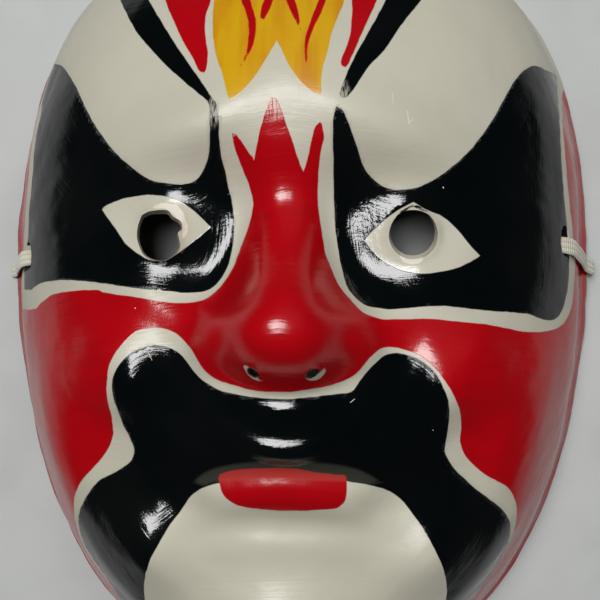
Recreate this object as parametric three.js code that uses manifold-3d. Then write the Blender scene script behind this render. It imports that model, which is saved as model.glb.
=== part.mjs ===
// Painted opera mask of pressed paper pulp, lying face up on its rim, in millimetres.
// X runs across the face, +Y is the forehead and +Z the front of the face. The rim stands on Z = 0.
import * as THREE from "three";
import { mergeVertices } from "three/addons/utils/BufferGeometryUtils.js";
import Module from "manifold-3d";

// Outline of the rim
const HALF_WIDTH = 92; // at the widest line
const FOREHEAD_REACH = 113.5; // from the widest line up to the top of the rim
const CHIN_REACH = 134; // from the widest line down to the bottom of the rim
const FOREHEAD_SQUARENESS = 2.64;
const CHIN_SQUARENESS = 2.23;
const WIDEST_Y = (CHIN_REACH - FOREHEAD_REACH) / 2;

// Section of the shell
const WALL = 2.5; // thickness of the pressed pulp
const CROWN = 62; // height of the plain dome that carries the features
const EDGE = 1.8; // height of the cut edge at the rim
const LIP_OUT = 2.6; // how far the foot of the wall flares out to the rim
const LIP_UP = 7; // height over which it flares
const TEMPLE_RISE = 5; // the rim arches up this far at the temples, where the strap goes under
const TEMPLE_Y = 12;
const TEMPLE_SPAN = 40;
const TEMPLE_REACH = 30; // height at which the wall is no longer lifted

// Nose: rise of its ridge over the dome at each height, and its half-width there
const NOSE_RIDGE = [
  [48, 0],
  [39, 0.7],
  [32, 3.6],
  [22, 10.1],
  [12, 14.5],
  [2, 18.4],
  [-4, 20.5],
  [-9, 20.5],
  [-13.5, 18.4],
  [-17.5, 13.6],
  [-21, 6.6],
  [-25, 0],
];
const NOSE_HALF_WIDTH = [
  [46, 9.1],
  [32, 8],
  [22, 8.4],
  [12, 10],
  [2, 13.1],
  [-8, 16.2],
  [-25, 15.5],
];
const NOSE_FIRMNESS = 1.38;
const NOSE_BASE_BEND = 0.012; // the foot of the nose curves up towards the wings
const SOFTENING = 2; // spacing over which the ridge line is evened out

// Rounded swellings and hollows. Those away from the midline are on both sides. along and across
// are the half-sizes at half the rise, lean turns them in degrees, bend curves them up at the ends
// and firm is 1 for a soft bell and more for a flatter top with steeper flanks.
const SWELLINGS = [
  { part: "glabella", x: 0, y: 62, along: 24, across: 20, lean: 0, bend: -0.001, firm: 1, rise: 5 },
  {
    part: "brow", x: 29.4, y: 47.1, along: 21.1, across: 7.8,
    lean: -25, bend: 0.003, firm: 1.14, rise: 2.8,
  },
  {
    part: "socket", x: 22.5, y: 20.1, along: 24, across: 18.4,
    lean: 13, bend: 0.006, firm: 1.74, rise: -9.5,
  },
  {
    part: "eyeball", x: 33.9, y: 20.9, along: 9.1, across: 12.1,
    lean: 2, bend: -0.007, firm: 0.73, rise: 7.6,
  },
  { part: "nose wing", x: 21.8, y: -13, along: 4, across: 6.5, lean: 15, bend: 0, firm: 1.2, rise: 2.8 },
  {
    part: "cheek", x: 48.3, y: -18.7, along: 11.7, across: 12.2,
    lean: -12, bend: 0, firm: 1.54, rise: 5.4,
  },
  {
    part: "muzzle", x: 38.7, y: -30.9, along: 21.6, across: 4.8,
    lean: 52, bend: 0.008, firm: 0.95, rise: 2,
  },
  {
    part: "mouth mound", x: 0, y: -34, along: 19.4, across: 11.6,
    lean: 0, bend: 0.003, firm: 1.44, rise: 4,
  },
  {
    part: "lip shelf", x: 0, y: -28.1, along: 11, across: 2.2,
    lean: 0, bend: 0.017, firm: 1.2, rise: 1.2,
  },
  {
    part: "upper lip", x: 0, y: -40, along: 11, across: 2.6,
    lean: 0, bend: 0.023, firm: 1.12, rise: 1.6,
  },
  {
    part: "mouth line", x: 0, y: -45.6, along: 26, across: 3,
    lean: 0, bend: -0.005, firm: 0.98, rise: -1.8,
  },
  {
    part: "lower lip", x: 0, y: -52, along: 19, across: 5,
    lean: 0, bend: -0.002, firm: 1.27, rise: 1.3,
  },
  {
    part: "lip hollow", x: 0, y: -60.9, along: 18.4, across: 3.9,
    lean: 0, bend: -0.004, firm: 1.12, rise: -2.1,
  },
  {
    part: "chin", x: 0, y: -90, along: 22.4, across: 9.6,
    lean: 0, bend: -0.006, firm: 0.89, rise: 10.1,
  },
  {
    part: "mouth corner", x: 28.7, y: -54, along: 7, across: 5.2,
    lean: 41, bend: 0, firm: 1.17, rise: -1.8,
  },
  {
    part: "jaw", x: 40.2, y: -69.5, along: 13.3, across: 7.7,
    lean: 43, bend: 0.001, firm: 1.04, rise: 5.5,
  },
  {
    part: "outer cheek", x: 67, y: -32, along: 22, across: 11,
    lean: 90, bend: 0, firm: 1.4, rise: 5,
  },
  {
    part: "outer jaw", x: 52, y: -78, along: 20, across: 12,
    lean: 45, bend: 0, firm: 1, rise: 6,
  },
];

// Holes cut through the shell: eyes and nostrils from the front, strap slots from the sides
const EYE_HOLES = [
  { x: -35.4, y: 18.4, halfWidth: 6.3, halfHeight: 6.9, lean: 0 },
  { x: 34.6, y: 18.8, halfWidth: 6.8, halfHeight: 6.8, lean: 0 },
];
const NOSTRILS = [
  { x: -7.7, y: -17.8, halfWidth: 2.1, halfHeight: 1.2, lean: -35 },
  { x: 7.7, y: -17.8, halfWidth: 2.1, halfHeight: 1.2, lean: 35 },
];
const SLOT_WIDE = 4.8;
const SLOTS = [
  { side: -1, y: 14.4, z: 25.6, long: 7.8 },
  { side: 1, y: 19.6, z: 28.2, long: 8.8 },
];

// Flat elastic strap with a stopper knot inside each slot
const STRAP_WIDE = 4.8;
const STRAP_THICK = 1.2;
const STRAP_LEAN = 9.5; // turn of the section in the slots; on the way down it turns back as far again
const STRAP_STEPS = 60;
const KNOT_HALF = 3.3;
const STRAP_ROUTE = [
  [-74.6, 14.0, 25.6],
  [-78.4, 13.9, 25.6],
  [-82.0, 13.6, 25.6],
  [-84.0, 13.2, 24.9],
  [-85.5, 12.6, 22.8],
  [-87.6, 11.7, 18.4],
  [-89.2, 11.1, 14.3],
  [-90.5, 10.6, 10.5],
  [-91.9, 10.3, 8.4],
  [-93.4, 10.1, 6.2],
  [-93.8, 10.0, 4.0],
  [-92.3, 9.9, 2.1],
  [-88.6, 9.7, 1.15],
  [-84.0, 9.0, 1.1],
  [-70.0, 5.6, 1.1],
  [-52.0, -2.0, 1.1],
  [-30.0, -10.0, 1.1],
  [-8.0, -14.2, 1.1],
  [14.0, -13.4, 1.1],
  [36.0, -6.8, 1.1],
  [56.0, 1.6, 1.1],
  [72.0, 7.8, 1.1],
  [84.0, 11.0, 1.1],
  [88.6, 11.8, 1.15],
  [92.2, 12.0, 2.1],
  [93.7, 12.2, 4.0],
  [93.5, 12.5, 6.2],
  [91.9, 13.0, 8.4],
  [90.5, 13.6, 10.5],
  [89.2, 14.4, 14.3],
  [87.6, 15.4, 18.4],
  [85.6, 16.5, 22.6],
  [84.0, 17.4, 25.7],
  [82.5, 17.9, 27.5],
  [80.2, 18.3, 28.2],
  [76.6, 18.5, 28.2],
  [72.8, 18.6, 28.2],
];

// Grids of the face, outside and inside. Rim lines run down the wall and round its flared foot, and
// the other lines crowd together over the nose and mouth.
const OUTER_GRID = { columns: 32, rows: 42, rimLines: [0.87, 0.92, 0.955, 0.98, 1] };
const INNER_GRID = { columns: 24, rows: 34, rimLines: [0.91, 0.97, 1] };
const COLUMN_CROWDS = [{ at: 0, spread: 0.3, extra: 1.8 }];
const ROW_CROWDS = [
  { at: -0.02, spread: 0.3, extra: 1.4 },
  { at: -0.23, spread: 0.13, extra: 3.2 },
];

const radians = THREE.MathUtils.degToRad;

function curveThrough(points, at) {
  // Smooth curve that keeps to its points and never swings past them
  const along = (i) => points[Math.max(0, Math.min(points.length - 1, i))];
  const slope = (i) => {
    const [a, b, c] = [along(i - 1), along(i), along(i + 1)];
    const before = (b[1] - a[1]) / (b[0] - a[0] || 1);
    const after = (c[1] - b[1]) / (c[0] - b[0] || 1);
    return before * after <= 0 ? 0 : (2 * before * after) / (before + after);
  };
  if (at >= points[0][0]) return points[0][1];
  if (at <= points.at(-1)[0]) return points.at(-1)[1];
  const i = points.findIndex((p) => p[0] < at) - 1;
  const [[x0, y0], [x1, y1]] = [points[i], points[i + 1]];
  const span = x1 - x0;
  const t = (at - x0) / span;
  const [t2, t3] = [t * t, t * t * t];
  return (
    (2 * t3 - 3 * t2 + 1) * y0 + (t3 - 2 * t2 + t) * span * slope(i) +
    (3 * t2 - 2 * t3) * y1 + (t3 - t2) * span * slope(i + 1)
  );
}

function mound(x, y, { x: cx, y: cy, along, across, lean, bend, firm, rise }) {
  const [c, s] = [Math.cos(radians(lean)), Math.sin(radians(lean))];
  const [dx, dy] = [x - cx, y - cy - bend * (x - cx) ** 2];
  const u = (dx * c + dy * s) / along;
  const v = (dy * c - dx * s) / across;
  return rise * Math.exp(-Math.LN2 * (u * u + v * v) ** firm);
}

function nose(x, y) {
  const low = THREE.MathUtils.smoothstep(-y, -8, 12);
  const at = y - NOSE_BASE_BEND * low * x * x;
  const ridgeNear = (i) => curveThrough(NOSE_RIDGE, at + (i - 2) * SOFTENING);
  const ridge = [1, 4, 6, 4, 1].reduce((sum, weight, i) => sum + (weight / 16) * ridgeNear(i), 0);
  const t = x / curveThrough(NOSE_HALF_WIDTH, at);
  return ridge * Math.exp(-Math.LN2 * (t * t) ** NOSE_FIRMNESS);
}

function relief(x, y) {
  let rise = nose(x, y);
  for (const swelling of SWELLINGS) {
    rise += mound(x, y, swelling);
    if (swelling.x > 0) rise += mound(-x, y, swelling);
  }
  return rise;
}

function facePoint(across, along) {
  // across and along run from -1 to 1 over a square that is drawn out to the outline of the rim
  const dx = across * Math.sqrt(1 - (along * along) / 2);
  const dy = along * Math.sqrt(1 - (across * across) / 2);
  const s = Math.min(1, Math.hypot(dx, dy));
  const angle = Math.atan2(dy, dx);
  const [c, d] = [Math.cos(angle), Math.sin(angle)];
  const n = d > 0 ? FOREHEAD_SQUARENESS : CHIN_SQUARENESS;
  const reach = d > 0 ? FOREHEAD_REACH : CHIN_REACH;
  const size = (Math.abs(c) ** n + Math.abs(d) ** n) ** (-1 / n);
  const rho = Math.sin((s * Math.PI) / 2);
  const wall = { x: (HALF_WIDTH - LIP_OUT) * c * size, y: (reach - LIP_OUT) * d * size };
  const x = wall.x * rho;
  const y = wall.y * rho + WIDEST_Y;
  const power = 2 + (d > 0 ? 0.6 : 0.2) * Math.abs(d * size) ** n;
  const dome = Math.sqrt(Math.max(0, 1 - rho ** power));
  const fade = 1 - THREE.MathUtils.smoothstep(rho, 0.86, 0.99);
  const z = EDGE + (CROWN - EDGE) * dome + relief(x, y) * fade;
  const out = new THREE.Vector2(
    (Math.sign(c) * Math.abs(c) ** (n - 1)) / (HALF_WIDTH - LIP_OUT),
    (Math.sign(d) * Math.abs(d) ** (n - 1)) / (reach - LIP_OUT),
  ).normalize();
  const flare = LIP_OUT * Math.max(0, 1 - (z - EDGE) / LIP_UP) ** 2;
  return new THREE.Vector3(x + out.x * flare, y + out.y * flare, z);
}

function archAt(point) {
  // The low part of the wall is lifted at the temples
  const t = Math.min(1, Math.abs(point.y - TEMPLE_Y) / TEMPLE_SPAN);
  const low = Math.max(0, 1 - point.z / TEMPLE_REACH) ** 2;
  const side = THREE.MathUtils.smoothstep(Math.abs(point.x), 40, 70);
  return TEMPLE_RISE * low * side * Math.cos((t * Math.PI) / 2) ** 2;
}

function gridLines(count, crowds, rimLines) {
  // The rim lines at both ends, and between them count steps that are closer where the crowds are
  const samples = 600;
  const reach = rimLines[0] - 0.04;
  const sampleAt = (k) => reach * ((2 * k) / samples - 1);
  const bell = (v, { at, spread, extra }) => extra * Math.exp(-(((v - at) / spread) ** 2));
  const crowding = (v) => crowds.reduce((sum, crowd) => sum + bell(v, crowd), 1);
  const totals = [0];
  for (let k = 1; k <= samples; k++) totals.push(totals[k - 1] + crowding(sampleAt(k - 0.5)));
  const inner = [];
  for (let i = 0; i <= count; i++) {
    const wanted = (totals[samples] * i) / count;
    const k = Math.max(1, totals.findIndex((total) => total >= wanted - 1e-9));
    const share = (wanted - totals[k - 1]) / (totals[k] - totals[k - 1]);
    inner.push(sampleAt(k - 1 + share));
  }
  return [...rimLines.map((v) => -v).reverse(), ...inner, ...rimLines];
}

function closedFace({ columns, rows, rimLines }, place, floorAt) {
  // The face over a grid of lines, its rim carried down to the floor and closed underneath
  const across = gridLines(columns, COLUMN_CROWDS, rimLines);
  const along = gridLines(rows, ROW_CROWDS, rimLines);
  const positions = [];
  const index = [];
  const add = (p) => positions.push(p.x, p.y, p.z) / 3 - 1;
  const top = along.map((v) => across.map((u) => add(place(u, v))));
  const [right, upper] = [across.length - 1, along.length - 1];
  for (let j = 0; j < upper; j++) {
    for (let i = 0; i < right; i++) {
      const [a, b, c, d] = [top[j][i], top[j][i + 1], top[j + 1][i + 1], top[j + 1][i]];
      if (across[i] < 0 === along[j] < 0) index.push(a, b, c, a, c, d);
      else index.push(a, b, d, b, c, d);
    }
  }
  const rim = [
    ...top[0].slice(0, right), ...top.slice(0, upper).map((row) => row[right]),
    ...top[upper].slice(1).reverse(), ...top.slice(1).map((row) => row[0]).reverse(),
  ];
  const rings = [rim];
  const pointAt = (k) => new THREE.Vector3().fromArray(positions, 3 * k);
  for (const shrink of [1, 0.88]) rings.push(rim.map((k) => add(floorAt(pointAt(k), shrink))));
  for (let r = 0; r < rings.length - 1; r++) {
    for (let k = 0; k < rim.length; k++) {
      const next = (k + 1) % rim.length;
      const [a, b, c, d] = [rings[r][k], rings[r][next], rings[r + 1][next], rings[r + 1][k]];
      index.push(a, c, b, a, d, c);
    }
  }
  const middle = add(new THREE.Vector3(0, 0, floorAt(pointAt(rim[0]), 0).z));
  const last = rings.at(-1);
  for (let k = 0; k < last.length; k++) index.push(last[k], middle, last[(k + 1) % last.length]);
  const geometry = new THREE.BufferGeometry();
  geometry.setAttribute("position", new THREE.Float32BufferAttribute(positions, 3));
  geometry.setIndex(index);
  return geometry;
}

const wasm = await Module();
wasm.setup();

function solidOf(geometry) {
  const bare = geometry.clone();
  bare.deleteAttribute("normal");
  bare.deleteAttribute("uv");
  const merged = mergeVertices(bare);
  return new wasm.Manifold(new wasm.Mesh({
    numProp: 3,
    vertProperties: new Float32Array(merged.attributes.position.array),
    triVerts: new Uint32Array(merged.index.array),
  }));
}

function geometryOf(solid) {
  const mesh = solid.getMesh();
  const geometry = new THREE.BufferGeometry();
  geometry.setAttribute("position", new THREE.Float32BufferAttribute(mesh.vertProperties, 3));
  geometry.setIndex(new THREE.Uint32BufferAttribute(mesh.triVerts, 1));
  const flat = geometry.toNonIndexed();
  flat.computeVertexNormals();
  return flat;
}

function liftedFace(u, v, depth) {
  // A point of the face, or of the surface that lies depth under it, with the temples arched up
  const p = facePoint(u, v);
  if (depth > 0 && Math.max(Math.abs(u), Math.abs(v)) === 1) {
    const inward = new THREE.Vector2(-p.x, WIDEST_Y - p.y).setLength(LIP_OUT + depth);
    p.x += inward.x;
    p.y += inward.y;
  } else if (depth > 0) {
    const step = 1e-3;
    const du = facePoint(u + step, v).sub(facePoint(u - step, v));
    const dv = facePoint(u, v + step).sub(facePoint(u, v - step));
    p.addScaledVector(du.cross(dv).normalize(), -depth);
  }
  p.z += archAt(p);
  return p;
}

function outerBody() {
  const floorAt = (p, shrink) => new THREE.Vector3(p.x * shrink, p.y * shrink, p.z - EDGE);
  return solidOf(closedFace(OUTER_GRID, (u, v) => liftedFace(u, v, 0), floorAt));
}

function innerBody() {
  const floorAt = (p, shrink) => new THREE.Vector3(p.x * shrink, p.y * shrink, -2 * EDGE);
  return solidOf(closedFace(INNER_GRID, (u, v) => liftedFace(u, v, WALL), floorAt));
}

function holeFromFront({ x, y, halfWidth, halfHeight, lean }) {
  const sides = halfWidth > 4 ? 18 : 10;
  const cutter = new THREE.CylinderGeometry(1, 1, 2 * CROWN, sides);
  cutter.rotateX(Math.PI / 2).scale(halfWidth, halfHeight, 1).rotateZ(radians(lean));
  return solidOf(cutter.translate(x, y, 1.3 * CROWN));
}

function slotFromSide({ side, y, z, long }) {
  const shape = new THREE.Shape();
  const [half, round] = [long / 2, SLOT_WIDE / 2];
  shape.absarc(half - round, 0, round, -Math.PI / 2, Math.PI / 2);
  shape.absarc(round - half, 0, round, Math.PI / 2, (3 * Math.PI) / 2);
  const depth = HALF_WIDTH / 2;
  const cutter = new THREE.ExtrudeGeometry(shape, { depth, bevelEnabled: false, curveSegments: 5 });
  cutter.translate(0, 0, HALF_WIDTH * 0.7).rotateY(Math.PI / 2).rotateX(-Math.PI / 2);
  cutter.rotateZ(side > 0 ? 0 : Math.PI);
  return solidOf(cutter.translate(0, y, z));
}

function maskShell() {
  let shell = outerBody().subtract(innerBody());
  for (const hole of [...EYE_HOLES, ...NOSTRILS]) shell = shell.subtract(holeFromFront(hole));
  for (const slot of SLOTS) shell = shell.subtract(slotFromSide(slot));
  return shell;
}

function elasticStrap() {
  // The section's thickness runs along the curve's normal and its width along the binormal
  const [thick, wide, corner] = [STRAP_THICK / 2, STRAP_WIDE / 2, STRAP_THICK / 3];
  const section = new THREE.Shape([
    [thick, wide - corner], [thick - corner, wide], [corner - thick, wide], [-thick, wide - corner],
    [-thick, corner - wide], [corner - thick, -wide], [thick - corner, -wide], [thick, corner - wide],
  ].map(([x, y]) => new THREE.Vector2(x, y).rotateAround(new THREE.Vector2(), radians(STRAP_LEAN))));
  const route = new THREE.CatmullRomCurve3(STRAP_ROUTE.map((p) => new THREE.Vector3(...p)));
  const band = new THREE.ExtrudeGeometry(section, { steps: STRAP_STEPS, extrudePath: route });
  let strap = solidOf(band);
  for (const end of [STRAP_ROUTE[0], STRAP_ROUTE.at(-1)]) {
    const knot = new THREE.SphereGeometry(KNOT_HALF, 8, 6).scale(0.85, 1, 0.9);
    strap = strap.add(solidOf(knot.translate(...end)));
  }
  return strap;
}

const painted = new THREE.MeshStandardMaterial({ color: 0xb8b4a0, roughness: 0.3, metalness: 0 });
const woven = new THREE.MeshStandardMaterial({ color: 0xcfcab8, roughness: 0.85, metalness: 0 });

const part = new THREE.Group();
const subParts = [
  ["mask_shell", maskShell(), painted],
  ["elastic_strap", elasticStrap(), woven],
];
for (const [name, solid, material] of subParts) {
  const mesh = new THREE.Mesh(geometryOf(solid), material);
  mesh.name = name;
  part.add(mesh);
}

export default part;
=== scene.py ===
from math import cos, log, pi, radians, sin

import bmesh
import bpy
import numpy as np
from mathutils import Matrix, Vector


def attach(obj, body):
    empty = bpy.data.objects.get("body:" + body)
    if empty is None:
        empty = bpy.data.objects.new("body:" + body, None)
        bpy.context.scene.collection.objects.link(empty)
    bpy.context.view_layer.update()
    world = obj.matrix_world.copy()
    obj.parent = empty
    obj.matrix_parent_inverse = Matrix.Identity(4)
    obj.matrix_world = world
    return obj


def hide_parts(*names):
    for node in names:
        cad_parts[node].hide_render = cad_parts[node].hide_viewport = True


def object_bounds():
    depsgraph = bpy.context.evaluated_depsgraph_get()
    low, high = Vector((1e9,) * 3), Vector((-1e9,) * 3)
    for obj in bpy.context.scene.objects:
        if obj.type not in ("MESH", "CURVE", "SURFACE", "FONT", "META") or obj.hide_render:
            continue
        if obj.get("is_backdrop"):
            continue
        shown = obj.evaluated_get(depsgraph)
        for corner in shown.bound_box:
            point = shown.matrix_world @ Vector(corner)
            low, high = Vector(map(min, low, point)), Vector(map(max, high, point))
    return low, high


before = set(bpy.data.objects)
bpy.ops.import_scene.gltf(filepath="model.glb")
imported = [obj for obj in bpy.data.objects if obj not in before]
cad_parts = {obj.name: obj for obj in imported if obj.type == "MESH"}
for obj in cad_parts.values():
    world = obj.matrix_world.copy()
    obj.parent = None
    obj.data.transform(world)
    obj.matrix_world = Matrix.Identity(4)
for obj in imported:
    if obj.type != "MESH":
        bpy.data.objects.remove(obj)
cad_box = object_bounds()
MM = 0.001

# Camera of the photograph
CAMERA_AT = np.array([19.0, 1.3, 336.0])
CAMERA_AIM = np.array([0.45, 1.3, 0.0])
CAMERA_ROLL = radians(0.52)
FOCAL_PIXELS = 1024
FRAME_PIXELS = 600
SENSOR = 36

# Outline of the rim and section of the shell. The dome is fuller at the forehead than at the chin.
HALF_WIDTH = 92
FOREHEAD_REACH = 113.5
CHIN_REACH = 134
FOREHEAD_SQUARENESS = 2.64
CHIN_SQUARENESS = 2.23
WIDEST_Y = (CHIN_REACH - FOREHEAD_REACH) / 2
WALL = 2.5
CROWN = 62
DOME_FULLNESS = (0.6, 0.2)
RELIEF_FADES = (0.86, 0.99)
EDGE = 1.8
LIP_OUT = 2.6
LIP_UP = 7
TEMPLE_RISE = 5
TEMPLE_Y = 12
TEMPLE_SPAN = 40
TEMPLE_REACH = 30
TEMPLE_SIDES = (40, 70)

# Nose: rise of its ridge over the dome at each height, and its half-width there
NOSE_RIDGE = [
    (48, 0), (39, 0.7), (32, 3.6), (22, 10.1), (12, 14.5), (2, 18.4), (-4, 20.5), (-9, 20.5), (-13.5, 18.4),
    (-17.5, 13.6), (-21, 6.6), (-25, 0),
]
NOSE_HALF_WIDTH = [(46, 9.1), (32, 8), (22, 8.4), (12, 10), (2, 13.1), (-8, 16.2), (-25, 15.5)]
NOSE_FIRMNESS = 1.38
NOSE_BASE = (-8, 12)
NOSE_BASE_BEND = 0.012
SOFTENING = 2

# Swellings and hollows: x, y, half-size along, half-size across, lean, bend, firmness and rise
SWELLINGS = {
    "glabella": (0, 62, 24, 20, 0, -0.001, 1, 5),
    "brow": (29.4, 47.1, 21.1, 7.8, -25, 0.003, 1.14, 2.8),
    "socket": (22.5, 20.1, 24, 18.4, 13, 0.006, 1.74, -9.5),
    "eyeball": (33.9, 20.9, 9.1, 12.1, 2, -0.007, 0.73, 7.6),
    "nose wing": (21.8, -13, 4, 6.5, 15, 0, 1.2, 2.8),
    "cheek": (48.3, -18.7, 11.7, 12.2, -12, 0, 1.54, 5.4),
    "muzzle": (38.7, -30.9, 21.6, 4.8, 52, 0.008, 0.95, 2),
    "mouth mound": (0, -34, 19.4, 11.6, 0, 0.003, 1.44, 4),
    "lip shelf": (0, -28.1, 11, 2.2, 0, 0.017, 1.2, 1.2),
    "upper lip": (0, -40, 11, 2.6, 0, 0.023, 1.12, 1.6),
    "mouth line": (0, -45.6, 26, 3, 0, -0.005, 0.98, -1.8),
    "lower lip": (0, -52, 19, 5, 0, -0.002, 1.27, 1.3),
    "lip hollow": (0, -60.9, 18.4, 3.9, 0, -0.004, 1.12, -2.1),
    "chin": (0, -90, 22.4, 9.6, 0, -0.006, 0.89, 10.1),
    "mouth corner": (28.7, -54, 7, 5.2, 41, 0, 1.17, -1.8),
    "jaw": (40.2, -69.5, 13.3, 7.7, 43, 0.001, 1.04, 5.5),
    "outer cheek": (67, -32, 22, 11, 90, 0, 1.4, 5),
    "outer jaw": (52, -78, 20, 12, 45, 0, 1, 6),
}

# Slots for the strap: side, middle in y and z, and length along y
SLOTS = [(-1, 14.4, 25.6, 7.8), (1, 19.6, 28.2, 8.8)]
SLOT_WIDE = 4.8
SLOT_RAGGED = 0.08
SLOT_CUT = (60, 110)

# Flat elastic strap, from the knot inside the left slot to the knot inside the right one
STRAP_WIDE = 4.8
STRAP_THICK = 1.2
STRAP_EDGE = 0.1
STRAP_SWELL = 0.46
STRAP_RIBS = 3
STRAP_GROOVE = 0.55
STRAP_RIB = 0.45
STRAP_CREASE = radians(50)
STRAP_SIDEWAYS = (0, 1, 0)
KNOT_HALF = 3.3
KNOT_SQUEEZE = (0.8, 1, 0.9)
KNOT_BAND = (1.15, 0.75)
KNOT_SIDEWAYS = (0.3, 0.2, 1)
TREFOIL_HALF = 4.6
KNOT_TURNS = (0.4, -0.5)
STRAP_ROUTE = [
    (-74.6, 14, 25.6), (-78.4, 13.9, 25.6), (-82, 13.6, 25.6), (-84, 13.2, 24.9), (-85.5, 12.6, 22.8),
    (-87.6, 11.7, 18.4), (-89.2, 11.1, 14.3), (-90.5, 10.6, 10.5), (-91.9, 10.3, 8.4), (-93.4, 10.1, 6.2),
    (-93.8, 10, 4), (-92.3, 9.9, 2.1), (-88.6, 9.7, 1.15), (-84, 9, 1.1), (-70, 5.6, 1.1), (-52, -2, 1.1),
    (-30, -10, 1.1), (-8, -14.2, 1.1), (14, -13.4, 1.1), (36, -6.8, 1.1), (56, 1.6, 1.1), (72, 7.8, 1.1),
    (84, 11, 1.1), (88.6, 11.8, 1.15), (92.2, 12, 2.1), (93.7, 12.2, 4), (93.5, 12.5, 6.2), (91.9, 13, 8.4),
    (90.5, 13.6, 10.5), (89.2, 14.4, 14.3), (87.6, 15.4, 18.4), (85.6, 16.5, 22.6), (84, 17.4, 25.7),
    (82.5, 17.9, 27.5), (80.2, 18.3, 28.2), (76.6, 18.5, 28.2), (72.8, 18.6, 28.2),
]

# Paint outlines. Each is a list of smooth runs that meet at corners: a run starts where the one
# before it ends, and the first one where the last one ends.
LEFT_EYE_PATCH = [
    [(64, 68), (75, 85), (92, 120), (115, 152), (145, 177), (166, 183), (184, 184), (196, 180), (205, 167),
     (209, 150), (210, 124), (210, 102)],
    [(216, 102)],
    [(219, 124), (220, 149), (226, 175), (233, 209), (234, 235), (230, 260), (222, 277), (210, 289),
     (192, 293), (163, 291), (134, 288), (107, 284), (84, 281), (63, 280), (46, 282), (37, 285), (31, 290)],
    [(-20, 286)], [(-20, 66)], [(57, 64)],
]
LEFT_EYE_BORDER = [
    [(238, 256), (233, 268), (224, 282), (208, 298), (186, 303), (164, 302), (134, 297), (102, 292)],
    [(98, 290), (86, 290), (63, 292), (50, 296), (41, 303), (34, 309), (20, 309), (-20, 306)],
    [(-20, 66)], [(47, 66)],
    [(60, 110), (105, 190), (180, 245), (224, 240)],
    [(238, 243), (241, 246)],
]
RIGHT_EYE_PATCH = [
    [(333, 122), (333, 150), (334, 200), (336, 235), (341, 265), (348, 288), (360, 302), (376, 308),
     (398, 309), (420, 307), (445, 306), (472, 309), (503, 312), (528, 314), (541, 319), (552, 320),
     (561, 313), (567, 293), (569, 265), (568, 240), (565, 207), (562, 169), (560, 129), (558, 100),
     (556, 75)],
    [(546, 70), (536, 66), (526, 69), (516, 79), (506, 95), (496, 114), (485, 131), (470, 150), (453, 166),
     (438, 177), (419, 187), (399, 190), (384, 187), (372, 178), (363, 165), (356, 143), (349, 124),
     (343, 111), (336, 106)],
]
RIGHT_EYE_BORDER = [
    [(325, 252), (331, 268), (338, 284), (348, 297), (363, 312), (382, 319), (405, 319), (434, 319),
     (463, 322), (491, 325), (510, 329), (530, 332), (547, 331), (559, 327), (567, 318), (572, 303),
     (575, 274), (574, 246), (571, 217), (567, 179), (565, 150), (563, 129), (562, 95), (563, 74)],
    [(556, 78)],
    [(545, 160), (520, 250), (440, 290), (365, 270), (346, 240)],
    [(334, 240), (323.5, 241)],
]
LEFT_BROW = [
    [(103, -30), (120, 0), (136, 31), (160, 59), (180, 78), (198, 93), (208, 102), (211, 112)],
    [(216, 112)],
    [(215, 103), (211, 96), (201, 81), (184, 57), (166, 29), (149, 0), (137, -28), (131, -52)],
    [(112, -62), (90, -58)],
]
RIGHT_BROW = [
    [(399, -28), (386, 0), (370, 29), (355, 56), (345, 78), (339, 95)],
    [(342, 98), (347, 97)],
    [(353, 90), (370, 65), (386, 48), (402, 24), (421, 0), (441, -30), (452, -54)],
    [(430, -62), (405, -56)],
]
LEFT_TEAR = [
    [(148, -56), (154, -28), (165, 0), (180, 35), (194, 60), (199, 70), (204, 73), (207, 66), (208, 54),
     (205, 32), (206, 16), (211, 0), (219, -28), (224, -58), (232, -100)],
    [(142, -100)],
]
RIGHT_TEAR = [
    [(345, -60), (350, -28), (352, 0), (351, 27), (348, 43), (342, 57), (341, 64), (344, 67), (348, 65),
     (354, 51), (363, 31), (377, 0), (391, -28), (402, -56), (416, -100)],
    [(338, -100)],
]
FLAME = [
    [(217, -24), (214, 0), (213, 16), (213, 35), (216, 54), (223, 76), (229, 100)],
    [(237, 95), (246, 87), (257, 73), (267, 57), (277, 40)],
    [(287, 61), (295, 75), (304, 85), (313, 92), (322, 95)],
    [(321, 85), (322, 70), (327, 52), (332, 32), (338, 16), (344, 0), (346, -24), (340, -44)],
    [(322, -60)],
    [(308, -48), (300, -44), (293, -54), (285, -66)],
    [(272, -54), (262, -45), (252, -54), (243, -62)],
    [(226, -44)],
]
FLAME_VEINS = [
    [[(236, -18), (241, 0), (248, 20), (248, 43), (244, 58), (237, 72)],
     [(247, 57), (254, 42), (256, 22), (250, 0), (243, -18), (238, -36)]],
    [[(271, -12), (264, 0), (260, 15), (262, 19), (265, 18), (273, 0), (283, -28)]],
    [[(286, 0), (293, 16), (301, 31)],
     [(299, 16), (295, 0), (288, -14), (278, -22)]],
    [[(328, -16), (319, 0), (308, 28), (304, 47), (305, 58), (308, 69)],
     [(307, 60), (308, 45), (313, 29), (321, 13), (326, 0), (333, -18), (331, -34)]],
]
RED_GROUND = [
    [(277, 99), (282, 112), (289, 132), (296, 152), (303, 174)],
    [(309, 152), (314, 130), (318, 123)],
    [(321, 122), (323, 130), (324, 139), (321, 152), (318, 181), (318, 200), (320, 219), (322, 232),
     (324, 244), (333, 266), (350, 280)],
    [(440, 270), (530, 220), (554, 140), (558, 108), (567, 80)],
    [(640, 70)], [(640, 760)], [(-60, 760)], [(-60, 66)], [(47, 66)],
    [(60, 120), (110, 220), (190, 275), (228, 272)],
    [(236, 252), (242, 245), (249, 224), (253, 208), (253, 200), (249, 185), (242, 168), (236, 152),
     (232, 136), (233, 131)],
    [(237, 135), (244, 145), (254, 161)],
    [(258, 139), (264, 116), (270, 98), (272, 97)],
]
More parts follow.
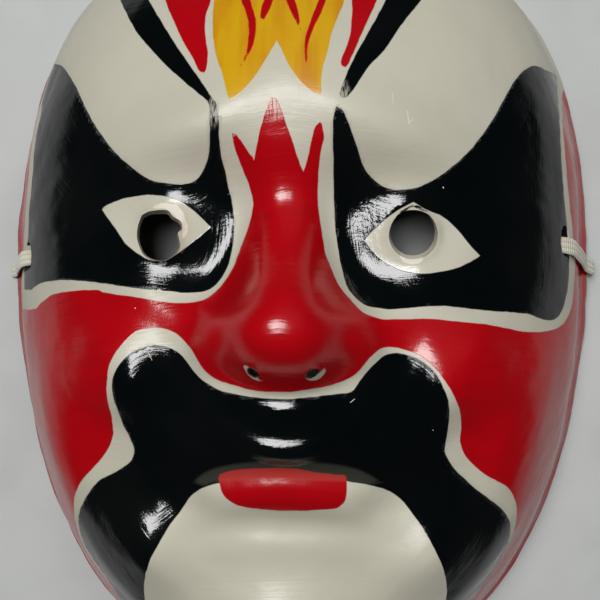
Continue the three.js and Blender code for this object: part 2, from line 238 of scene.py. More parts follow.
MUZZLE_PATCH = [
    [(112, 386), (114, 374), (122, 361), (135, 351), (150, 346), (163, 346), (177, 351), (187, 362),
     (195, 373), (205, 382), (220, 390), (245, 396), (280, 399), (310, 397), (335, 394), (352, 391),
     (362, 378), (374, 364), (385, 355), (398, 353), (413, 357), (428, 366), (440, 380), (448, 400),
     (449, 420), (446, 440), (445, 452), (452, 466), (466, 480), (484, 495), (500, 507), (509, 520),
     (510, 535), (503, 554), (490, 574), (470, 598), (448, 618), (424, 634), (400, 645)],
    [(188, 650)],
    [(163, 635), (141, 617), (122, 600), (109, 581), (97, 564), (85, 545), (79, 525), (80, 510), (88, 494),
     (100, 480), (117, 471), (129, 463), (134, 453), (131, 440), (123, 424), (113, 397)],
]
MUZZLE_BORDER = [
    [(134, 333), (119, 348), (110, 364), (107, 380), (107, 396), (111, 414), (113, 428), (112, 440),
     (106, 452), (95, 466), (83, 479), (76, 492), (74, 505), (76, 525), (85, 549), (99, 570), (115, 591),
     (136, 614), (166, 639), (205, 658), (250, 668), (300, 671), (350, 665), (395, 650), (430, 630),
     (456, 609), (474, 596), (486, 579), (498, 563), (509, 545), (515, 527), (517, 511), (514, 497),
     (506, 486), (493, 479), (479, 470), (466, 457), (460, 442), (461, 428), (460, 412), (453, 394),
     (443, 378), (432, 365), (419, 355), (402, 349), (388, 347), (377, 351), (367, 361), (358, 372),
     (346, 380), (331, 385), (305, 390), (284, 392), (258, 391), (236, 386), (218, 380), (205, 371),
     (197, 359), (189, 346), (178, 335), (166, 329), (153, 327)],
]
CHIN_PANEL = [
    [(203, 488), (191, 496), (180, 512), (168, 528), (159, 543), (151, 558), (146, 573), (144, 590),
     (148, 612), (160, 632), (180, 646)],
    [(205, 655), (250, 665), (300, 668), (350, 662), (395, 646)],
    [(424, 630), (441, 612), (447, 592), (443, 569), (433, 546), (421, 526), (409, 509), (397, 496),
     (381, 488), (364, 484), (347, 481)],
    [(218, 483)],
]
# Painted reflection: a faint grey sheen where the mouth closes, at the top of the lower lip
PAINTED_LIP_SHEEN = [
    [(205, 472), (222, 466), (250, 462), (285, 462), (325, 463), (358, 469), (384, 483)],
    [(360, 486), (340, 482), (225, 482), (205, 486), (192, 482)],
]
LOWER_LIP = [
    [(230, 471), (245, 469), (273, 468), (295, 469), (320, 473), (346, 475)],
    [(347, 488), (345, 501), (338, 508)],
    [(317, 510), (287, 511), (258, 509), (240, 506), (227, 499), (221, 490), (218, 475)],
]
LEFT_EYE_WHITE = [
    [(119, 200), (138, 196), (153, 195), (168, 197), (184, 204), (198, 215), (211, 227)],
    [(198, 238), (184, 249), (171, 257), (159, 261), (148, 259), (136, 252), (126, 244), (116, 230),
     (108, 218), (101, 208)],
]
RIGHT_EYE_WHITE = [
    [(374, 230), (386, 219), (399, 210), (413, 202)],
    [(423, 208), (434, 213), (446, 219), (458, 231), (469, 244), (480, 256)],
    [(466, 264), (449, 270), (430, 273), (413, 273), (398, 269), (385, 262), (374, 252), (364, 240)],
]
EYELID_CRACK = [
    [(404, 209), (413, 204)],
    [(421, 207), (430, 212.5)],
    [(421, 210), (413, 206.5)],
    [(405, 211.5), (397, 214)],
]
NOSTRIL_EDGES = [
    [[(246, 372), (252, 378), (259, 381), (265, 380)],
     [(258, 378), (251, 372), (248, 366), (242, 364)]],
    [[(324, 374), (317, 380), (309, 380), (305, 377)],
     [(312, 377), (319, 373), (327, 366)]],
]

# Pale paper where the edges of the eye holes are torn, painted paler still as a painted highlight where it
# catches the light
TORN_PAPER_GLINTS = [
    [[(156, 205), (162, 203), (168, 203)],
     [(176, 205), (182, 211), (185, 218)],
     [(188, 225), (187, 232), (183, 240)],
     [(182, 233), (182, 229), (180, 225)],
     [(177, 219), (172, 213), (166, 209)],
     [(161, 208), (156, 209), (151, 209)]],
    [[(405, 250), (417, 250), (424, 256)],
     [(419, 263), (404, 263), (399, 254)]],
]

# Oval spots, by middle and half-sizes in pixels and strength: stains, strokes where the brush ran
# dry, and crumpled paper. The dry stroke at the tip of the red middle prong also paints a sheen there:
# the thinned red shows pink as a painted highlight.
STAINS = [(360, 496, 16, 12, 0.5), (205, 500, 9, 14, 0.3), (172, 205, 16, 8, 0.35), (379.5, 501, 3, 3, 1)]
DRY_STROKES_AND_SHEEN = [(274, 104, 14, 20, 0.7), (213, 111, 8, 20, 0.9), (343, 91, 8, 13, 0.9)]
CRUMPLED_SPOTS = [(367, 213, 24, 24, 0.45), (157, 206, 16, 6, 0.8), (180, 219, 8, 14, 0.8)]

# Scratches and specks, by x and y of both ends and half the width, in mm. They are painted pale, as wear
# and partly as painted glints where they catch the light.
SCRATCHES = [
    (32.2, 52.3, 32.5, 48.8, 0.12),
    (32.5, 48.8, 33.6, 50.1, 0.1),
    (28.1, 57.2, 28.3, 54.3, 0.09),
    (17.6, -26.1, 18.7, -25.2, 0.11),
    (-37.8, -13.3, -36.7, -15.5, 0.08),
    (42.5, 32.7, 42.6, 32.5, 0.18),
    (40.1, -33.8, 40.2, -33.9, 0.14),
    (-42.1, -1.3, -42, -1.4, 0.16),
]

# Paint: depth in pixels up to which it is measured, softness of its edges, and strength of the painted
# reflection, a grey sheen on the upper lip, and of the dry strokes, one of them also a painted sheen
DEPTH_LIMIT = 14
EDGE_SOFTNESS = 0.55
LIP_SHEEN_STRENGTH = 0.07
DRY_AND_SHEEN_STRENGTH = 0.8

# Brush strokes: size of a pixel on the face, how many pixels into a black patch they follow its
# outline, and their slope elsewhere
PIXEL_SIZE = 0.27
STROKE_REACH = 70
STROKE_SLOPE = 0.15

# Height of the lower edge of the left eye patch and of its cream border on the wall, by y. The wall
# lies beyond WALL_X, and a millimetre on it counts as WALL_PIXELS.
WALL_X = -60
WALL_PIXELS = 3
PATCH_EDGE_HEIGHT = [(-8, 23), (10, 21.5), (20, 25), (40, 25.5), (57, 24), (64, 20), (70, 13), (76, 3)]
BORDER_EDGE_HEIGHT = [(-8, 17), (10, 17.5), (20, 20), (40, 22), (54, 20), (60, 16), (66, 10), (72, 3)]

# Holes cut with a knife and left a little torn, as the camera sees them
LEFT_EYE_HOLE = [
    (142, 214), (150, 211), (161, 211), (169, 212), (174, 218), (181, 222), (183, 229), (179, 233),
    (180, 240), (181, 247), (177, 254), (166, 261), (154, 260), (145, 255), (140, 246), (137, 236),
    (138, 224),
]
RIGHT_EYE_HOLE = [
    (398, 216), (407, 212), (418, 212), (428, 216), (435, 224), (438, 235), (436, 246), (430, 254),
    (421, 259), (409, 260), (399, 256), (392, 248), (389, 237), (392, 225),
]
EYE_HOLE_Z = 54
EYE_HOLE_RADIUS = 10

# Levels of the holes' cutters, each with a scale, and at the eye holes with a share of their shift.
# A nostril has its middle, half-sizes and lean.
EYE_HOLE_CUT = ((44, 0.9, 1), (50, 0.9, 1), (56, 1.04, 0), (64, 1.04, 0))
EYE_HOLE_SHIFTS = ((-0.9, -0.2), (0, 1.6))
NOSTRILS = [(-7.7, -17.8, 2.1, 1.2, -35), (7.7, -17.8, 2.1, 1.2, 35)]
NOSTRIL_CUT = ((30, 0.8), (100, 1))
NOSTRIL_RAGGED = 0.1
OVAL_CORNERS = 24

# Raised edge of the eye holes: height, width, reach, and which way the paper was pushed at each
HOLE_EDGE_RISE = 0.75
HOLE_EDGE_WIDTH = 1.1
HOLE_EDGE_REACH = 6
HOLE_PUSHES = ((0.8, 0.6), (0.3, 0.8))
EVEN_PUSH = 0.55
LEANING_PUSH = 0.45

# Walls of the eye holes: how far down the paint ends, and over what depth
PAINT_RUNS_IN = 1.8
PAINT_FADES = 0.6

# Fineness of the shell's mesh: lines across and along the outer face, twice those of the inner one,
# and how much closer than even they lie in the middle
COLUMNS = 230
ROWS = 300
CROWDING = 0.28
SHELL_CREASE = radians(48)

# Uneven pulp, by height, spacing and seed of each field: lumps outside, crumples as a share of the
# holes' raised edge, fibres inside. Then the fields' half-sizes.
LUMPS = [(0.34, 21, 3), (0.12, 8, 5), (0.035, 3, 7)]
CRUMPLES = [(0.7, 2, 17)]
FIBRES = [(0.25, 6, 11), (0.12, 2.4, 13)]
FIELD_HALF = (120, 160)

# Inner face: passes of the relief's blur, and of the dips that keep it below the outer face
INNER_BLUR = 30
DIP_REACH = 4
DIP_BLUR = 8

# Rings of the rim: share of the way from the outer edge to the inner one, and drop. The first
# strips between them are painted.
RIM_SECTION = ((0, 1.2), (0.08, 1.7), (0.2, 1.8), (0.8, 1.8), (0.95, 1.6))
PAINTED_STRIPS = 2

# Paint
CREAM = (0.43, 0.408, 0.333, 1)
# Worn cream, which also tints the painted reflection above the lower lip
CREAM_WORN_AND_SHEEN = (0.385, 0.37, 0.28, 1)
RED = (0.325, 0.0003, 0.003, 1)
RED_DEEP = (0.25, 0.0003, 0.002, 1)
BLACK = (0.0003, 0.0011, 0.0013, 1)
BLACK_WORN = (0.002, 0.0025, 0.0025, 1)
YELLOW = (0.48, 0.265, 0.0005, 1)
OCHRE = (0.43, 0.18, 0.0003, 1)
# Torn paper, pale partly as a painted highlight
PALE_TORN_GLINT = (0.6, 0.56, 0.48, 1)
# Scratch colour, pale partly as painted glints
SCRATCH_AND_GLINT = (0.6, 0.58, 0.5, 1)
CREAM_ROUGHNESS = 0.36
EYE_WHITE_ROUGHNESS = 0.2
RED_ROUGHNESS = 0.2
BLACK_ROUGHNESS = 0.09
ENAMEL_IOR = 1.52

# Pulp, elastic and floor
BARE_PULP = (0.45, 0.4, 0.31, 1)
PULP = (0.42, 0.36, 0.27, 1)
PULP_PALE = (0.52, 0.47, 0.38, 1)
PULP_FLECKS = (0.16, 0.12, 0.09, 1)
BARE_ROUGHNESS = 0.9
PULP_ROUGHNESS = 0.88
ELASTIC = (0.6, 0.57, 0.47, 1)
ELASTIC_SOILED = (0.47, 0.44, 0.34, 1)
# Darker braid colour: painted shade between the threads
ELASTIC_GAP_SHADE = (0.3, 0.27, 0.2, 1)
ELASTIC_ROUGHNESS = 0.8
FLOOR = (0.37, 0.38, 0.37, 1)
FLOOR_PALE = (0.41, 0.42, 0.41, 1)
FLOOR_FAR = (0.09, 0.09, 0.09, 1)
FLOOR_ROUGHNESS = 0.7
FLOOR_REACH = 1500

# Heights of the bumps
PAINT_STEP = 0.04
FINE_MARKS = 0.06
BROAD_MARKS = 0.08
DENTS = 0.06
GRAIN = 0.025
CREASES = 0.4
PULP_FIBRES = 0.4
THREADS = 0.18

# Soft boxes: place and size in metres, power, and whether surfaces mirror them
LIGHTS = {
    "key": ((-0.191, 0.226, 1.0), (0.37, 0.39), 7.1, True),
    "fill": ((0.4, 0.9, 1.1), (1.5, 1.5), 7.2, False),
    "front": ((-0.03, 0.08, 1.2), (0.25, 0.25), 5.2, False),
}
SKY = (0.85, 0.9, 0.95, 1)
SKY_STRENGTH = 0.035


def camera_axes():
    """Right, up and forward of the camera."""
    forward = CAMERA_AIM - CAMERA_AT
    forward /= np.linalg.norm(forward)
    right = np.cross(forward, (0, 1, 0))
    right /= np.linalg.norm(right)
    up = np.cross(right, forward)
    c, s = cos(CAMERA_ROLL), sin(CAMERA_ROLL)
    return right * c + up * s, up * c - right * s, forward


def to_pixels(points):
    """Where the camera sees points, in pixels across and down the frame."""
    right, up, forward = camera_axes()
    rays = points - CAMERA_AT
    depth = rays @ forward
    half = FRAME_PIXELS / 2
    return half + FOCAL_PIXELS * (rays @ right) / depth, half - FOCAL_PIXELS * (rays @ up) / depth


def from_pixel(pixel, z):
    """The point at height z that the camera sees at a pixel."""
    right, up, forward = camera_axes()
    half = FRAME_PIXELS / 2
    ray = forward + right * (pixel[0] - half) / FOCAL_PIXELS + up * (half - pixel[1]) / FOCAL_PIXELS
    return CAMERA_AT + ray * (z - CAMERA_AT[2]) / ray[2]


def new_object(name, data):
    made = bpy.data.objects.new(name, data)
    bpy.context.collection.objects.link(made)
    return made


def add_camera():
    right, up, forward = camera_axes()
    data = bpy.data.cameras.new("photo_camera")
    data.sensor_width = SENSOR
    data.lens = FOCAL_PIXELS / FRAME_PIXELS * SENSOR
    data.clip_start = 0.01
    camera = new_object("photo_camera", data)
    columns = [*zip(right, up, -forward, CAMERA_AT * MM)]
    camera.matrix_world = Matrix([*columns, (0, 0, 0, 1)])
    bpy.context.scene.camera = camera


def add_mesh(name, vertices, faces):
    """A mesh object from points in millimetres."""
    mesh = bpy.data.meshes.new(name)
    mesh.from_pydata((np.asarray(vertices) * MM).tolist(), [], faces)
    mesh.update()
    return new_object(name, mesh)


def smooth_line(points, steps):
    """Catmull-Rom curve through points, each stretch in the given number of steps."""
    points = np.asarray(points, float)
    padded = np.vstack([2 * points[0] - points[1], points, 2 * points[-1] - points[-2]])
    t = np.linspace(0, 1, steps, endpoint=False)[:, None]
    line = []
    for a, b, c, d in zip(padded, padded[1:], padded[2:], padded[3:]):
        bend = (2 * a - 5 * b + 4 * c - d) * t**2 + (3 * b - a - 3 * c + d) * t**3
        line.append(b + (c - a) * t / 2 + bend / 2)
    return np.vstack([*line, points[-1:]])


def unit(vectors):
    return vectors / np.linalg.norm(vectors, axis=-1, keepdims=True)


def tube(rings):
    """Points and faces of a tube with closed ends, through rings of points."""
    count = len(rings[0])
    last = (len(rings) - 1) * count
    faces = []
    for first in range(0, last, count):
        for k in range(count):
            start, after = first + k, first + (k + 1) % count
            faces.append((start, after, after + count, start + count))
    faces += [tuple(reversed(range(count))), tuple(range(last, last + count))]
    return np.vstack(rings), faces


def swept(section, line, sideways):
    """Tube of a section along a line. The section's first coordinate lies sideways."""
    ahead = unit(np.gradient(line, axis=0))
    wide = unit(sideways - ahead * np.sum(ahead * sideways, axis=1, keepdims=True))
    thick = np.cross(wide, ahead)
    return tube(line[:, None] + section[:, :1] * wide[:, None] + section[:, 1:] * thick[:, None])


def strap_section():
    """Flat braid with lengthwise ribs."""
    side = np.linspace(-1, 1, 25)
    fullness = (1 - np.abs(side) ** 5) * STRAP_SWELL + STRAP_EDGE
    ribs = np.abs(np.sin(pi * STRAP_RIBS * (side + 1) / 2)) ** 0.7
    height = STRAP_THICK * fullness * (STRAP_GROOVE + STRAP_RIB * ribs)
    upper = np.stack([side * STRAP_WIDE / 2, height], axis=1)
    return np.vstack([upper, upper[::-1] * (1, -1)])


def knot(centre, turn):
    """Overhand knot of the band, as a tube along a trefoil."""
    t = np.linspace(0, 2 * pi, 72)
    across, along = np.sin(t) + 2 * np.sin(2 * t), np.cos(t) - 2 * np.cos(2 * t)
    trefoil = np.stack([across, along, -np.sin(3 * t)], axis=1)
    size = np.multiply(KNOT_SQUEEZE, KNOT_HALF / TREFOIL_HALF)
    line = trefoil * size @ np.array(Matrix.Rotation(turn, 3, "Y")) + centre
    angle = np.linspace(0, 2 * pi, 10, endpoint=False)
    section = np.stack([KNOT_BAND[0] * np.cos(angle), KNOT_BAND[1] * np.sin(angle)], axis=1)
    return swept(section, line, KNOT_SIDEWAYS)


def joined(parts):
    """One list of points and faces from several."""
    points, faces = [], []
    for part_points, part_faces in parts:
        shift = sum(len(p) for p in points)
        points.append(part_points)
        faces += [tuple(k + shift for k in corners) for corners in part_faces]
    return np.vstack(points), faces


def add_strap():
    route = smooth_line(STRAP_ROUTE, 8)
    band = swept(strap_section(), route, STRAP_SIDEWAYS)
    knots = [knot(np.array(STRAP_ROUTE[end]), turn) for end, turn in zip((0, -1), KNOT_TURNS)]
    strap = add_mesh("elastic_band", *joined([band, *knots]))
    strap.data.shade_smooth()
    strap.data.set_sharp_from_angle(angle=STRAP_CREASE)
    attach(strap, "root")
    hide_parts("elastic_strap")
    return strap


def smoothstep(x, low, high):
    t = np.clip((x - low) / (high - low), 0, 1)
    return t * t * (3 - 2 * t)


def curve_through(points, at):
    """Smooth curve that keeps to its points and never swings past them."""
    x, y = np.array(sorted(points), float).T
    step = np.diff(x)
    slope = np.diff(y) / step
    before, after = slope[:-1], slope[1:]
    mean = 2 * before * after / np.where(before + after == 0, 1, before + after)
    tangent = np.concatenate([[0], np.where(before * after > 0, mean, 0), [0]])
    at = np.clip(at, x[0], x[-1])
    i = np.clip(np.searchsorted(x, at) - 1, 0, len(x) - 2)
    t = (at - x[i]) / step[i]
    ends = (2 * t**3 - 3 * t**2 + 1) * y[i] + (3 * t**2 - 2 * t**3) * y[i + 1]
    return ends + step[i] * ((t**3 - 2 * t**2 + t) * tangent[i] + (t**3 - t**2) * tangent[i + 1])


def nose(x, y):
    at = y - NOSE_BASE_BEND * smoothstep(-y, *NOSE_BASE) * x * x
    taps = [(-2, 1), (-1, 4), (0, 6), (1, 4), (2, 1)]
    ridge = sum(weight / 16 * curve_through(NOSE_RIDGE, at + step * SOFTENING) for step, weight in taps)
    t = x / curve_through(NOSE_HALF_WIDTH, at)
    return ridge * np.exp(-log(2) * (t * t) ** NOSE_FIRMNESS)


def mound(x, y, swelling):
    at_x, at_y, along, across, lean, bend, firm, rise = swelling
    c, s = cos(radians(lean)), sin(radians(lean))
    dx = x - at_x
    dy = y - at_y - bend * dx * dx
    u, v = (dx * c + dy * s) / along, (dy * c - dx * s) / across
    return rise * np.exp(-log(2) * (u * u + v * v) ** firm)


def relief(x, y):
    """Rise of the features over the plain dome."""
    rise = nose(x, y)
    for swelling in SWELLINGS.values():
        rise = rise + mound(x, y, swelling)
        if swelling[0] > 0:
            rise = rise + mound(-x, y, swelling)
    return rise


def face(across, along, rise_at, lip):
    """Points of the face over a square from -1 to 1, with the given relief and flare of the foot."""
    dx = across * np.sqrt(1 - along * along / 2)
    dy = along * np.sqrt(1 - across * across / 2)
    s = np.minimum(1, np.hypot(dx, dy))
    angle = np.arctan2(dy, dx)
    c, d = np.cos(angle), np.sin(angle)
    upper = d > 0
    n = np.where(upper, FOREHEAD_SQUARENESS, CHIN_SQUARENESS)
    half_width = HALF_WIDTH - LIP_OUT
    reach = np.where(upper, FOREHEAD_REACH, CHIN_REACH) - LIP_OUT
    size = (np.abs(c) ** n + np.abs(d) ** n) ** (-1 / n)
    rho = np.sin(s * pi / 2)
    x = half_width * c * size * rho
    y = reach * d * size * rho + WIDEST_Y
    power = 2 + np.where(upper, *DOME_FULLNESS) * np.abs(d * size) ** n
    dome = np.sqrt(np.maximum(0, 1 - rho**power))
    fade = 1 - smoothstep(rho, *RELIEF_FADES)
    z = EDGE + (CROWN - EDGE) * dome + rise_at(x, y) * fade
    out_x = np.sign(c) * np.abs(c) ** (n - 1) / half_width
    out_y = np.sign(d) * np.abs(d) ** (n - 1) / reach
    flare = lip * np.maximum(0, 1 - (z - EDGE) / LIP_UP) ** 2 / np.hypot(out_x, out_y)
    return np.stack([x + out_x * flare, y + out_y * flare, z], axis=-1)


def arched(points):
    """Lifts the low part of the wall at the temples."""
    x, y, z = np.moveaxis(points, -1, 0)
    t = np.minimum(1, np.abs(y - TEMPLE_Y) / TEMPLE_SPAN)
    low = np.maximum(0, 1 - z / TEMPLE_REACH) ** 2
    side = smoothstep(np.abs(x), *TEMPLE_SIDES)
    lift = TEMPLE_RISE * low * side * np.cos(t * pi / 2) ** 2
    return points + np.stack([0 * x, 0 * x, lift], axis=-1)


def lattice_normals(points):
    return unit(np.cross(np.gradient(points, axis=1), np.gradient(points, axis=0)))


def unevenness(x, y, spacing, seed):
    """Smooth random field between -1 and 1 whose lumps are about one spacing apart."""
    reach = max(FIELD_HALF)
    count = int(2 * reach / spacing) + 3
    knots = np.random.default_rng(seed).uniform(-1, 1, (count, count))
    u, v = (np.clip(x, -reach, reach) + reach) / spacing, (np.clip(y, -reach, reach) + reach) / spacing
    i, j = u.astype(int), v.astype(int)
    s, t = u - i, v - j
    s, t = s**3 * (s * (6 * s - 15) + 10), t**3 * (t * (6 * t - 15) + 10)
    lower = knots[j, i] * (1 - s) + knots[j, i + 1] * s
    upper = knots[j + 1, i] * (1 - s) + knots[j + 1, i + 1] * s
    return lower * (1 - t) + upper * t


def filtered(values, passes, combine):
    """Combines each value with its neighbours, first along one axis and then along the other."""
    for _ in range(2 * passes):
        padded = np.pad(values, ((1, 1), (0, 0)), mode="edge")
        values = combine(padded[:-2], padded[1:-1], padded[2:]).T
    return values


def blurred(values, passes):
    return filtered(values, passes, lambda before, here, after: (before + 2 * here + after) / 4)


def lowest_near(values, passes):
    return filtered(values, passes, lambda *near: np.minimum.reduce(near))


def hole_shapes():
    """Outlines of the eye holes in millimetres."""
    for pixels in (LEFT_EYE_HOLE, RIGHT_EYE_HOLE):
        corners = [from_pixel(p, EYE_HOLE_Z)[:2] for p in pixels]
        yield smooth_line([*corners, corners[0]], 3)[:-1]


def hole_rise(x, y):
    """The pulp stands up a little round the eye holes, most where the paper was pushed aside."""
    rise = np.zeros_like(x)
    for outline, (push_x, push_y) in zip(hole_shapes(), HOLE_PUSHES):
        centre = outline.mean(axis=0)
        corners = outline - centre
        angles = np.arctan2(corners[:, 1], corners[:, 0])
        order = np.argsort(angles)
        radii = np.hypot(*corners.T)[order]
        dx, dy = x - centre[0], y - centre[1]
        angle = np.arctan2(dy, dx)
        beyond = np.hypot(dx, dy) - np.interp(angle, angles[order], radii, period=2 * pi)
        pushed = EVEN_PUSH + LEANING_PUSH * (np.cos(angle) * push_x + np.sin(angle) * push_y)
        fading = np.exp(-((np.maximum(beyond, 0) / HOLE_EDGE_WIDTH) ** 2))
        rise += HOLE_EDGE_RISE * pushed * fading * (beyond < HOLE_EDGE_REACH)
    return rise


def uneven(u, v, fields):
    """Sum of random fields, from the height, spacing and seed of each."""
    return sum(height * unevenness(u, v, spacing, seed) for height, spacing, seed in fields)


def lifted(points, height, lowest):
    """Points moved along their normals, arched at the temples and kept above a height."""
    points = arched(points + lattice_normals(points) * height[..., None])
    points[..., 2] = np.maximum(points[..., 2], lowest)
    return points


def shell_lattices():
    """Outer points on all lines and inner points on every second line."""
    lines = [np.linspace(-1, 1, count + 1) for count in (COLUMNS, ROWS)]
    across, along = np.meshgrid(*[(1 - CROWDING) * t + CROWDING * t**3 for t in lines])
    outer = face(across, along, relief, LIP_OUT)
    x, y = outer[..., 0], outer[..., 1]
    u, v = across * FIELD_HALF[0], along * FIELD_HALF[1]
    lumps = uneven(u, v, LUMPS)
    crumpled = hole_rise(x, y) * (1 + uneven(u, v, CRUMPLES))
    outer = lifted(outer, lumps + crumpled, EDGE)
    rise = relief(x, y)
    soft = blurred(rise, INNER_BLUR)
    sunk = soft - blurred(-lowest_near(-np.maximum(0, soft - rise), DIP_REACH), DIP_BLUR)
    inner = face(across, along, lambda _x, _y: sunk, 0)
    inner = lifted(inner, uneven(u, v, FIBRES) - WALL, EDGE / 2)
    return outer, inner[::2, ::2]


def border(lattice):
    """Entries round the border of a lattice."""
    return np.concatenate([lattice[0, :-1], lattice[:-1, -1], lattice[-1, :0:-1], lattice[:0:-1, 0]])


def lattice_faces(lattice, first):
    """Faces of a lattice, and its points' numbers from the first one on."""
    numbers = np.arange(lattice[..., 0].size).reshape(lattice.shape[:2]) + first
    corners = numbers[:-1, :-1], numbers[:-1, 1:], numbers[1:, 1:], numbers[1:, :-1]
    return np.stack(corners, axis=-1).reshape(-1, 4).tolist(), numbers


def rim_rings(outer, inner):
    """Rings of points round the rim, from the outer face's edge to near the inner face."""
    foot, inside = border(outer), border(inner)
    halfway = (inside + np.roll(inside, -1, axis=0)) / 2
    heel = np.stack([inside, halfway], axis=1).reshape(-1, 3)
    rings = []
    for share, drop in RIM_SECTION:
        ring = foot + (heel - foot) * share
        ring[:, 2] = foot[:, 2] - drop
        rings.append(ring)
    return rings


def shell_mesh(outer, inner):
    """The closed shell before its holes: outer face, rounded rim and inner face."""
    outer_faces, outer_numbers = lattice_faces(outer, 0)
    inner_faces, inner_numbers = lattice_faces(inner, outer[..., 0].size)
    rings = rim_rings(outer, inner)
    points = [outer.reshape(-1, 3), inner.reshape(-1, 3), *rings]
    first, count = len(points[0]) + len(points[1]), len(rings[0])
    loops = [border(outer_numbers)]
    loops += [np.arange(count) + first + count * k for k in range(len(rings))]
    rim_faces = []
    for a, b in zip(loops, loops[1:]):
        rim_faces += np.stack([a, b, np.roll(b, -1), np.roll(a, -1)], axis=1).tolist()
    last = loops[-1]
    inner_loop = border(inner_numbers)
    for k, (here, there) in enumerate(zip(inner_loop, np.roll(inner_loop, -1))):
        a, b, c = last[2 * k], last[2 * k + 1], last[(2 * k + 2) % count]
        rim_faces += [(a, here, b), (b, here, there), (b, there, c)]
    faces = [*outer_faces, *[corners[::-1] for corners in inner_faces], *rim_faces]
    return np.vstack(points), faces, len(outer_faces)


def at_height(outline, z, scale=1, shift=(0, 0)):
    """An outline's points at a height, scaled about its middle and shifted."""
    middle = outline.mean(axis=0)
    return np.column_stack([middle + (outline - middle) * scale + shift, np.full(len(outline), z)])


def eye_cutter(outline, shift):
    """Cutter whose walls slope in through the thickness of the shell."""
    levels = [(z, scale, np.multiply(shift, share)) for z, scale, share in EYE_HOLE_CUT]
    return tube([at_height(outline, *level) for level in levels])


def oval(x, y, half_width, half_height, lean, ragged):
    angle = np.linspace(0, 2 * pi, OVAL_CORNERS, endpoint=False)
    wobble = 1 + ragged * np.sin(3 * angle + x) * np.cos(5 * angle)
    points = np.stack([half_width * np.cos(angle), half_height * np.sin(angle)], axis=1) * wobble[:, None]
    c, s = cos(radians(lean)), sin(radians(lean))
    return points @ np.array([[c, s], [-s, c]]) + (x, y)


def slot_cutter(side, y, z, long):
    """Cutter for a strap slot, lying along X, with ragged round ends."""
    outline = oval(y, z, long / 2, SLOT_WIDE / 2, 0, SLOT_RAGGED)
    points, faces = tube([at_height(outline, side * reach) for reach in SLOT_CUT])
    return points[:, [2, 0, 1]], faces


def cut_holes(shell):
    cutters = [eye_cutter(*hole) for hole in zip(hole_shapes(), EYE_HOLE_SHIFTS)]
    cutters += [slot_cutter(*slot) for slot in SLOTS]
    painted = sum(len(faces) for _, faces in cutters)
    for nostril in NOSTRILS:
        outline = oval(*nostril, NOSTRIL_RAGGED)
        cutters.append(tube([at_height(outline, *level) for level in NOSTRIL_CUT]))
    cutter = add_mesh("cutter", *joined(cutters))
    fix = bmesh.new()
    fix.from_mesh(cutter.data)
    bmesh.ops.recalc_face_normals(fix, faces=fix.faces)
    fix.to_mesh(cutter.data)
    fix.free()
    for material in shell.data.materials:
        cutter.data.materials.append(material)
    indices = np.ones(len(cutter.data.polygons), int)
    indices[:painted] = 0
    cutter.data.polygons.foreach_set("material_index", indices)
    cut = shell.modifiers.new("holes", "BOOLEAN")
    cut.operation = "DIFFERENCE"
    cut.solver = "EXACT"
    cut.object = cutter
    finished = bpy.data.meshes.new_from_object(shell.evaluated_get(bpy.context.evaluated_depsgraph_get()))
    shell.modifiers.remove(cut)
    shell.data = finished
    bpy.data.objects.remove(cutter)


def outline_of(runs):
    """Closed outline from smooth runs that meet at corners."""
    lines = []
    for before, run in zip([runs[-1], *runs], runs):
        steps = 5 if len(run) > 1 else 1
        lines.append(smooth_line([before[-1], *run], steps)[:-1])
    return np.vstack(lines)


def depth_inside(runs, pixels, limit=DEPTH_LIMIT):
    """Distance in pixels from each point to an outline, positive inside it, up to a limit."""
    outline = outline_of(runs)
    low, high = outline.min(axis=0) - limit, outline.max(axis=0) + limit
    near = np.all((pixels > low) & (pixels < high), axis=1)
    points = pixels[near]
    nearest = np.full(len(points), np.inf)
    inside = np.zeros(len(points), bool)
    for start, end in zip(outline, np.roll(outline, -1, axis=0)):
        step = end - start
        offset = points - start
        t = np.clip(offset @ step / max(step @ step, 1e-9), 0, 1)
        nearest = np.minimum(nearest, np.sum((offset - t[:, None] * step) ** 2, axis=1))
        if start[1] != end[1]:
            crosses = (start[1] > points[:, 1]) != (end[1] > points[:, 1])
            inside ^= crosses & (offset[:, 0] < offset[:, 1] * step[0] / step[1])
    depth = np.full(len(pixels), -float(limit))
    depth[near] = np.clip(np.where(inside, 1, -1) * np.sqrt(nearest), -limit, limit)
    return depth


def depth_above(runs, heights, points, pixels):
    """Depth inside an outline that ends at a height on the left wall."""
    y, z = zip(*heights)
    over = (points[:, 2] - np.interp(points[:, 1], y, z)) * WALL_PIXELS
    over[points[:, 0] >= WALL_X] = np.inf
    return np.minimum(depth_inside(runs, pixels), over)


def widest(outlines, pixels):
    """Depth inside whichever outline a point is deepest in."""
    return np.maximum.reduce([depth_inside(runs, pixels) for runs in outlines])


